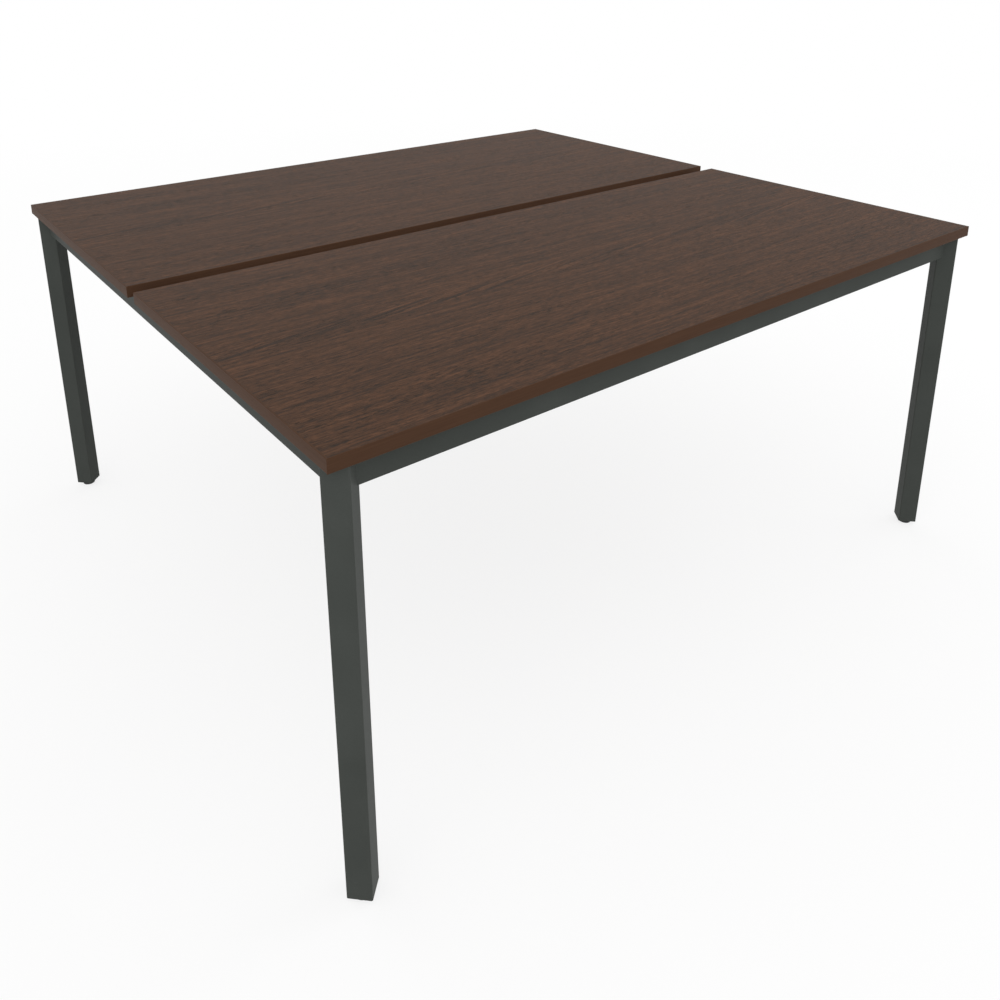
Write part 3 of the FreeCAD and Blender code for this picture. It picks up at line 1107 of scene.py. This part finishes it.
@dataclass
class CornerPlate:
    """The bent plate across one corner of the frame."""

    corner: Corner
    finishes: Finishes
    form: PlateForm = PlateForm()
    height: float = 40 * MM
    inner_radius: float = 4 * MM
    end_radius: float = 1.5 * MM
    edge: float = 0.4 * MM

    def build(self) -> None:
        """Makes the plate with its two bends rounded."""
        face, seat, bend = self.form.beam_half, self.form.seat, self.form.bend
        tip = bend + self.form.wing
        inner_bend = bend + self.form.thickness * math.tan(math.radians(22.5))
        outer_radius = self.inner_radius + self.form.thickness
        half = [
            (tip, face, 0.0),
            (tip, seat, self.end_radius),
            (inner_bend, seat, self.inner_radius),
        ]
        mirrored = [(y, x, radius) for x, y, radius in reversed(half)]
        outline = rounded([*half, *mirrored, (face, bend, outer_radius), (bend, face, outer_radius)])
        low = self.form.middle - self.height / 2
        plate = upright(outline, low, low + self.height, self.edge)
        self.finishes.paint.piece(f"{self.corner.name}_corner_plate", "bent", plate.at(self.corner.inward()))


@dataclass
class TopSupport:
    """What holds one top down: tabs on the beams, wood screws, and the inner beam's end plates."""

    row: Row
    finishes: Finishes
    underside: float = 738 * MM
    tab_width: float = 30 * MM
    tab_reach: float = 26 * MM
    tab_thickness: float = 3 * MM
    tab_corner: float = 5 * MM
    tab_edge: float = 0.3 * MM
    tab_xs: tuple[float, ...] = (-576 * MM, 0.0, 576 * MM)
    outer_face: float = 706.516 * MM
    inner_face: float = 95 * MM
    hole_inset: float = 12 * MM
    hole_radius: float = 2.75 * MM
    head_radius: float = 4.6 * MM
    head_height: float = 2.8 * MM
    screw_length: float = 16 * MM
    screw_thread: Thread = Thread(2.25 * MM, 0.6 * MM, 1.8 * MM)
    overlap: float = 0.2 * MM
    beam_y: float = 87 * MM
    beam_width: float = 16 * MM
    beam_height: float = 40 * MM
    plate_face: float = 755.516 * MM
    weld: float = 2.6 * MM
    tab_weld_inset: float = 3 * MM
    beam_weld_inset: float = 2 * MM

    def tab_places(self) -> list[tuple[float, float, int]]:
        """X, the beam face's Y and the way that each tab reaches."""
        faces = ((self.outer_face, -1), (self.inner_face, 1))
        return [(x, self.row.value * y, self.row.value * way) for x in self.tab_xs for y, way in faces]

    def tab_shape(self) -> Shape:
        """A tab that reaches along Y from the origin, with rounded corners and a screw hole.

        Returns:
            The shape.
        """
        half, reach, edge = self.tab_width / 2, self.tab_reach, self.tab_edge
        corners = ((half, 0.0, 0.0), (half, reach, self.tab_corner), (-half, reach, self.tab_corner))
        outline = rounded([*corners, (-half, 0.0, 0.0)])
        sides = list(zip(outline, outline[1:] + outline[:1]))
        middle = Vector((0.0, reach - self.hole_inset, 0.0))
        outer = []
        for way in ring(1.0, 0.0):
            hits = (intersect_line_line_2d(middle, middle + way, *side) for side in sides)
            outer.append(next(hit.to_3d() for hit in hits if hit))
        levels = ((edge, 0.0), (0.0, edge), (0.0, self.tab_thickness - edge), (edge, self.tab_thickness))
        rings = []
        for share, z in levels:
            rise = Vector((0.0, 0.0, z))
            rings.append([point - (point - middle).normalized() * share + rise for point in outer])
        for share, z in reversed(levels):
            rings.append([middle + point for point in ring(self.hole_radius + share, z)])
        return skinned(rings, looped=True)

    def wood_screw(self) -> Shape:
        """A pan head screw with a cross recess, its seat at the origin and its head upward.

        Returns:
            The shape.
        """
        radius, top = self.head_radius, self.head_height
        profile = ((0.4, 0.0), (0.97, 0.0), (1.0, 0.2), (0.97, 0.5), (0.84, 0.78), (0.6, 0.94), (0.3, 1.0))
        dome = turned([(radius * out, up * top) for out, up in profile], steps=32)
        arm = 0.52 * radius
        half = 0.13 * radius
        quarter = [(arm, -half), (arm, half), (half, half)]
        cross = []
        for _ in range(4):
            cross += quarter
            quarter = [(-y, x) for x, y in quarter]
        levels = ((0.45, 0.35 * top), (1.0, top + self.overlap))
        recess = skinned([[Vector((x * size, y * size, z)) for x, y in cross] for size, z in levels])
        shank = self.screw_thread.rod(-self.screw_length, self.overlap, steps=14)
        return carved(dome, [recess]).add(shank)

    def welds(self) -> Shape:
        """The weld beads under the tabs and round the inner beam's ends.

        Returns:
            The shape.
        """
        beads = Shape()
        half = self.tab_width / 2 - self.tab_weld_inset
        level = self.underside - self.tab_thickness
        for x, y, way in self.tab_places():
            ends = [Vector((x + step * half, y, level)) for step in (-1, 1)]
            beads.add(weld_bead(*ends, Vector((0, way, 0)), Vector((0, 0, -1)), self.weld))
        low = self.underside - self.beam_height
        heights = (low + self.beam_weld_inset, self.underside - self.beam_weld_inset)
        for side in Side:
            for edge in (-1, 1):
                y = self.row.value * self.beam_y + edge * self.beam_width / 2
                ends = [Vector((side.value * self.plate_face, y, z)) for z in heights]
                beads.add(weld_bead(*ends, Vector((-side.value, 0, 0)), Vector((0, edge, 0)), self.weld))
        return beads

    def build(self) -> None:
        """Makes the tabs, wood screws and welds, and dresses the end plates."""
        word = self.row.name.lower()
        level = self.underside - self.tab_thickness
        tab_places = []
        screw_places = []
        for x, y, way in self.tab_places():
            tab_places.append(Matrix.Translation((x, y, level)) @ Matrix.Diagonal((1, way, 1, 1)))
            seat = Vector((x, y + way * (self.tab_reach - self.hole_inset), level))
            screw_places.append(aimed(seat, Vector((0, 0, -1))))
        paint = self.finishes.paint
        paint.piece(f"{word}_top_tabs", "rounded", self.tab_shape().at(*tab_places))
        self.finishes.zinc.piece(f"{word}_top_screws", "pan_head", self.wood_screw().at(*screw_places))
        paint.piece(word, "welds", self.welds(), stands_in=False)
        paint.on_nodes(*(f"{word}_{side.name.lower()}_end_plate" for side in Side))


@dataclass
class LevellingFoot:
    """A plastic plug in a leg's end, a threaded stud in it, and a round pad on the stud."""

    corner: Corner
    finishes: Finishes
    leg_bottom: float = 9.5 * MM
    plug_side: float = 35.8 * MM
    plug_height: float = 25 * MM
    plug_corner: float = 0.6 * MM
    plug_edge: float = 0.5 * MM
    pocket_depth: float = 5 * MM
    pocket_ring: float = 8.5 * MM
    pocket_wall: float = 2.2 * MM
    pocket_rib: float = 1.1 * MM
    stud_thread: Thread = Thread(5 * MM, 0.85 * MM, 1.5 * MM)
    thread_length: float = 38 * MM
    collar_flats: float = 16 * MM
    pivot_radius: float = 4 * MM
    pivot_length: float = 3 * MM
    pivot_edge: float = 0.4 * MM
    overlap: float = 0.3 * MM
    room: float = 0.05 * MM
    pad_radius: float = 14 * MM
    pad_height: float = 5.5 * MM

    def plug_shape(self) -> Shape:
        """The plug about the Z axis, with four moulded pockets in its lower face.

        Returns:
            The shape.
        """
        half = self.plug_side / 2
        low = self.leg_bottom
        signs = ((1, -1), (1, 1), (-1, 1), (-1, -1))
        square = rounded([(x * half, y * half, self.plug_corner) for x, y in signs])
        block = upright(square, low, low + self.plug_height, self.plug_edge)
        bore = self.stud_thread.crest + self.room
        cutters = [turned([(bore, low - MM), (bore, low + self.plug_height + MM)])]
        edge = half - self.pocket_wall
        start = math.asin(self.pocket_rib / self.pocket_ring)
        steps = 8
        turns = (math.pi / 2 - start - k / steps * (math.pi / 2 - 2 * start) for k in range(steps + 1))
        arc = [spoke(turn, self.pocket_ring).to_tuple()[:2] for turn in turns]
        outline = [(edge, edge), (edge, self.pocket_rib), *reversed(arc), (self.pocket_rib, edge)]
        pocket = prism(outline, low - MM, low + self.pocket_depth)
        cutters += [pocket.at(Matrix.Rotation(math.pi / 2 * quarter, 4, "Z")) for quarter in range(4)]
        return carved(block, cutters)

    def stud_shape(self) -> Shape:
        """The stud about the Z axis: pivot, hexagon collar and thread.

        Returns:
            The shape.
        """
        collar = hexagonal(self.collar_flats, self.pad_height, self.leg_bottom)
        high = self.leg_bottom + self.thread_length
        rod = self.stud_thread.rod(self.leg_bottom - self.overlap, high, steps=32)
        radius, edge = self.pivot_radius, self.pivot_edge
        foot = self.pad_height - self.pivot_length
        profile = [(radius - edge, foot), (radius, foot + edge), (radius, self.pad_height + self.overlap)]
        return collar.add(rod).add(turned(profile, steps=32))

    def pad_shape(self) -> Shape:
        """The pad about the Z axis, hollow where the pivot turns and under its sole.

        Returns:
            The shape.
        """
        rim = self.pad_radius
        crown = self.pad_height
        bore = self.pivot_radius + self.room
        floor = crown - self.pivot_length - 0.4 * MM
        sole = [(0.8 * MM, 0.0), (5.6 * MM, 0.0), (6.0 * MM, 0.4 * MM), (11.4 * MM, 0.4 * MM)]
        side = [(11.8 * MM, 0.0), (rim - 0.8 * MM, 0.0), (rim, 0.8 * MM), (rim, crown - 1.9 * MM)]
        shoulder = [
            (rim - 0.15 * MM, crown - 1.4 * MM),
            (rim - 0.55 * MM, crown - 0.95 * MM),
            (rim - 1.2 * MM, crown - 0.7 * MM),
            (10.2 * MM, crown - 0.15 * MM),
        ]
        top = [(9.8 * MM, crown), (bore + 0.3 * MM, crown)]
        hollow = [(bore, crown - 0.3 * MM), (bore, floor), (0.8 * MM, floor)]
        return turned(sole + side + shoulder + top + hollow, steps=64)

    def build(self) -> None:
        """Makes the plug, stud and pad of this corner."""
        name = self.corner.name
        place = Matrix.Translation(self.corner.leg)
        plug = self.plug_shape().at(place @ Matrix.Rotation(math.pi / 4, 4, "Z"))
        stud = self.stud_shape().at(place)
        pad = self.pad_shape().at(place)
        self.finishes.plug.piece(f"{name}_foot_plug", "moulded", plug)
        self.finishes.zinc.piece(f"{name}_foot_stud", "threaded", stud, f"{name}_stud")
        self.finishes.pad.piece(f"{name}_foot_pad", "moulded", pad, f"{name}_pad")


@dataclass
class Studio:
    """The camera, floor, backdrop and lamps."""

    lens: float = 33.482
    shift: float = -0.265
    heading: float = 38.241
    pitch: float = 17.107
    place: tuple[float, float, float] = (-1.2525, -1.6609, 1.3515)
    lamp_target: tuple[float, float, float] = (0.0, 0.0, 0.6)
    floor_radius: float = 60.0
    floor_colour: Colour = (0.92, 0.92, 0.92, 1.0)
    floor_shade: Colour = (0.9, 0.9, 0.9, 1.0)
    mottle: Cells = Cells(3.0, 3.0, 1.0)
    white: Colour = (1.0, 1.0, 1.0, 1.0)
    floor_white: float = 0.8
    fade_start: float = 1.4
    fade_end: float = 6.0
    dome_level: float = 0.985

    def camera(self) -> None:
        """The photograph's camera, with the lens shift that holds the desk in the frame."""
        data = bpy.data.cameras.new("photo_camera")
        data.lens = self.lens
        data.sensor_width = 36.0
        data.shift_y = self.shift
        data.clip_end = 200.0
        camera = linked("photo_camera", data)
        camera.location = self.place
        camera.rotation_euler = (math.radians(90 - self.pitch), 0.0, math.radians(-self.heading))
        bpy.context.scene.camera = camera

    def floor(self) -> None:
        """A plain pale floor with the desk's soft shadow, which the camera sees as white far off."""
        graph = Surface("studio_floor")
        colour = graph.mix(graph.noise(self.mottle), self.floor_colour, self.floor_shade)
        matt = graph.node("ShaderNodeBsdfDiffuse", {}, {"Color": colour})
        white = graph.node("ShaderNodeEmission", {}, {"Color": self.white, "Strength": 1.0})
        far = (graph.x * graph.x + graph.y * graph.y).rise(self.fade_start**2, self.fade_end**2)
        share = self.seen_directly(graph) * (self.floor_white + far * (1.0 - self.floor_white))
        graph.close(graph.node("ShaderNodeMixShader", {}, {0: share, 1: matt, 2: white}))
        steps = 96
        disc = Shape(ring(self.floor_radius, 0.0, steps), [tuple(range(steps))])
        floor = linked("studio_floor", disc.mesh("studio_floor"))
        floor.data.materials.append(graph.material)

    @staticmethod
    def seen_directly(graph: Graph) -> Socket:
        """One for rays from the camera and for what is mirrored or let through, else nought.

        Args:
            graph: The node tree that asks.

        Returns:
            One or nought.
        """
        kinds = ("Is Camera Ray", "Is Glossy Ray", "Is Transmission Ray")
        camera, glossy, through = (graph.node("ShaderNodeLightPath", {}, {}, kind) for kind in kinds)
        return camera.larger(glossy).larger(through)

    def backdrop(self) -> None:
        """A white world, a little dimmer as a light than as it is seen."""
        world = bpy.data.worlds.new("studio_world")
        world.use_nodes = True
        bpy.context.scene.world = world
        graph = Graph(world.node_tree, "ShaderNodeOutputWorld")
        level = self.dome_level + self.seen_directly(graph) * (1.0 - self.dome_level)
        graph.close(graph.node("ShaderNodeBackground", {}, {"Color": self.white, "Strength": level}))

    def lamp(self, name: str, place: Vector, size: float, power: float) -> None:
        """A square soft lamp that looks at the desk's top.

        Args:
            name: The lamp's name.
            place: Where it hangs.
            size: Its side.
            power: Its power in watts.
        """
        data = bpy.data.lights.new(name, "AREA")
        data.shape = "SQUARE"
        data.size = size
        data.energy = power
        lamp = linked(name, data)
        lamp.location = place
        lamp.rotation_euler = (Vector(self.lamp_target) - place).to_track_quat("-Z", "Y").to_euler()

    def build(self) -> None:
        """Sets up everything."""
        self.camera()
        self.floor()
        self.backdrop()
        self.lamp("key_lamp", Vector((-2.6, -2.2, 4.2)), size=3.0, power=32.0)
        self.lamp("fill_lamp", Vector((3.4, -1.6, 3.2)), size=2.6, power=24.0)
        bpy.context.scene.view_settings.view_transform = "Standard"
        log.info("studio set up")


def main() -> None:
    """Builds the studio and the desk."""
    logging.basicConfig(level=logging.INFO, format="%(name)s: %(message)s")
    Studio().build()
    finishes = Finishes()
    for row in Row:
        WorkTop(row, finishes).build()
        TopSupport(row, finishes).build()
    TubeFrame(finishes).build()
    Fasteners(finishes).build()
    for corner in CORNERS:
        CornerPlate(corner, finishes).build()
        LevellingFoot(corner, finishes).build()


if __name__ == "__main__":
    main()
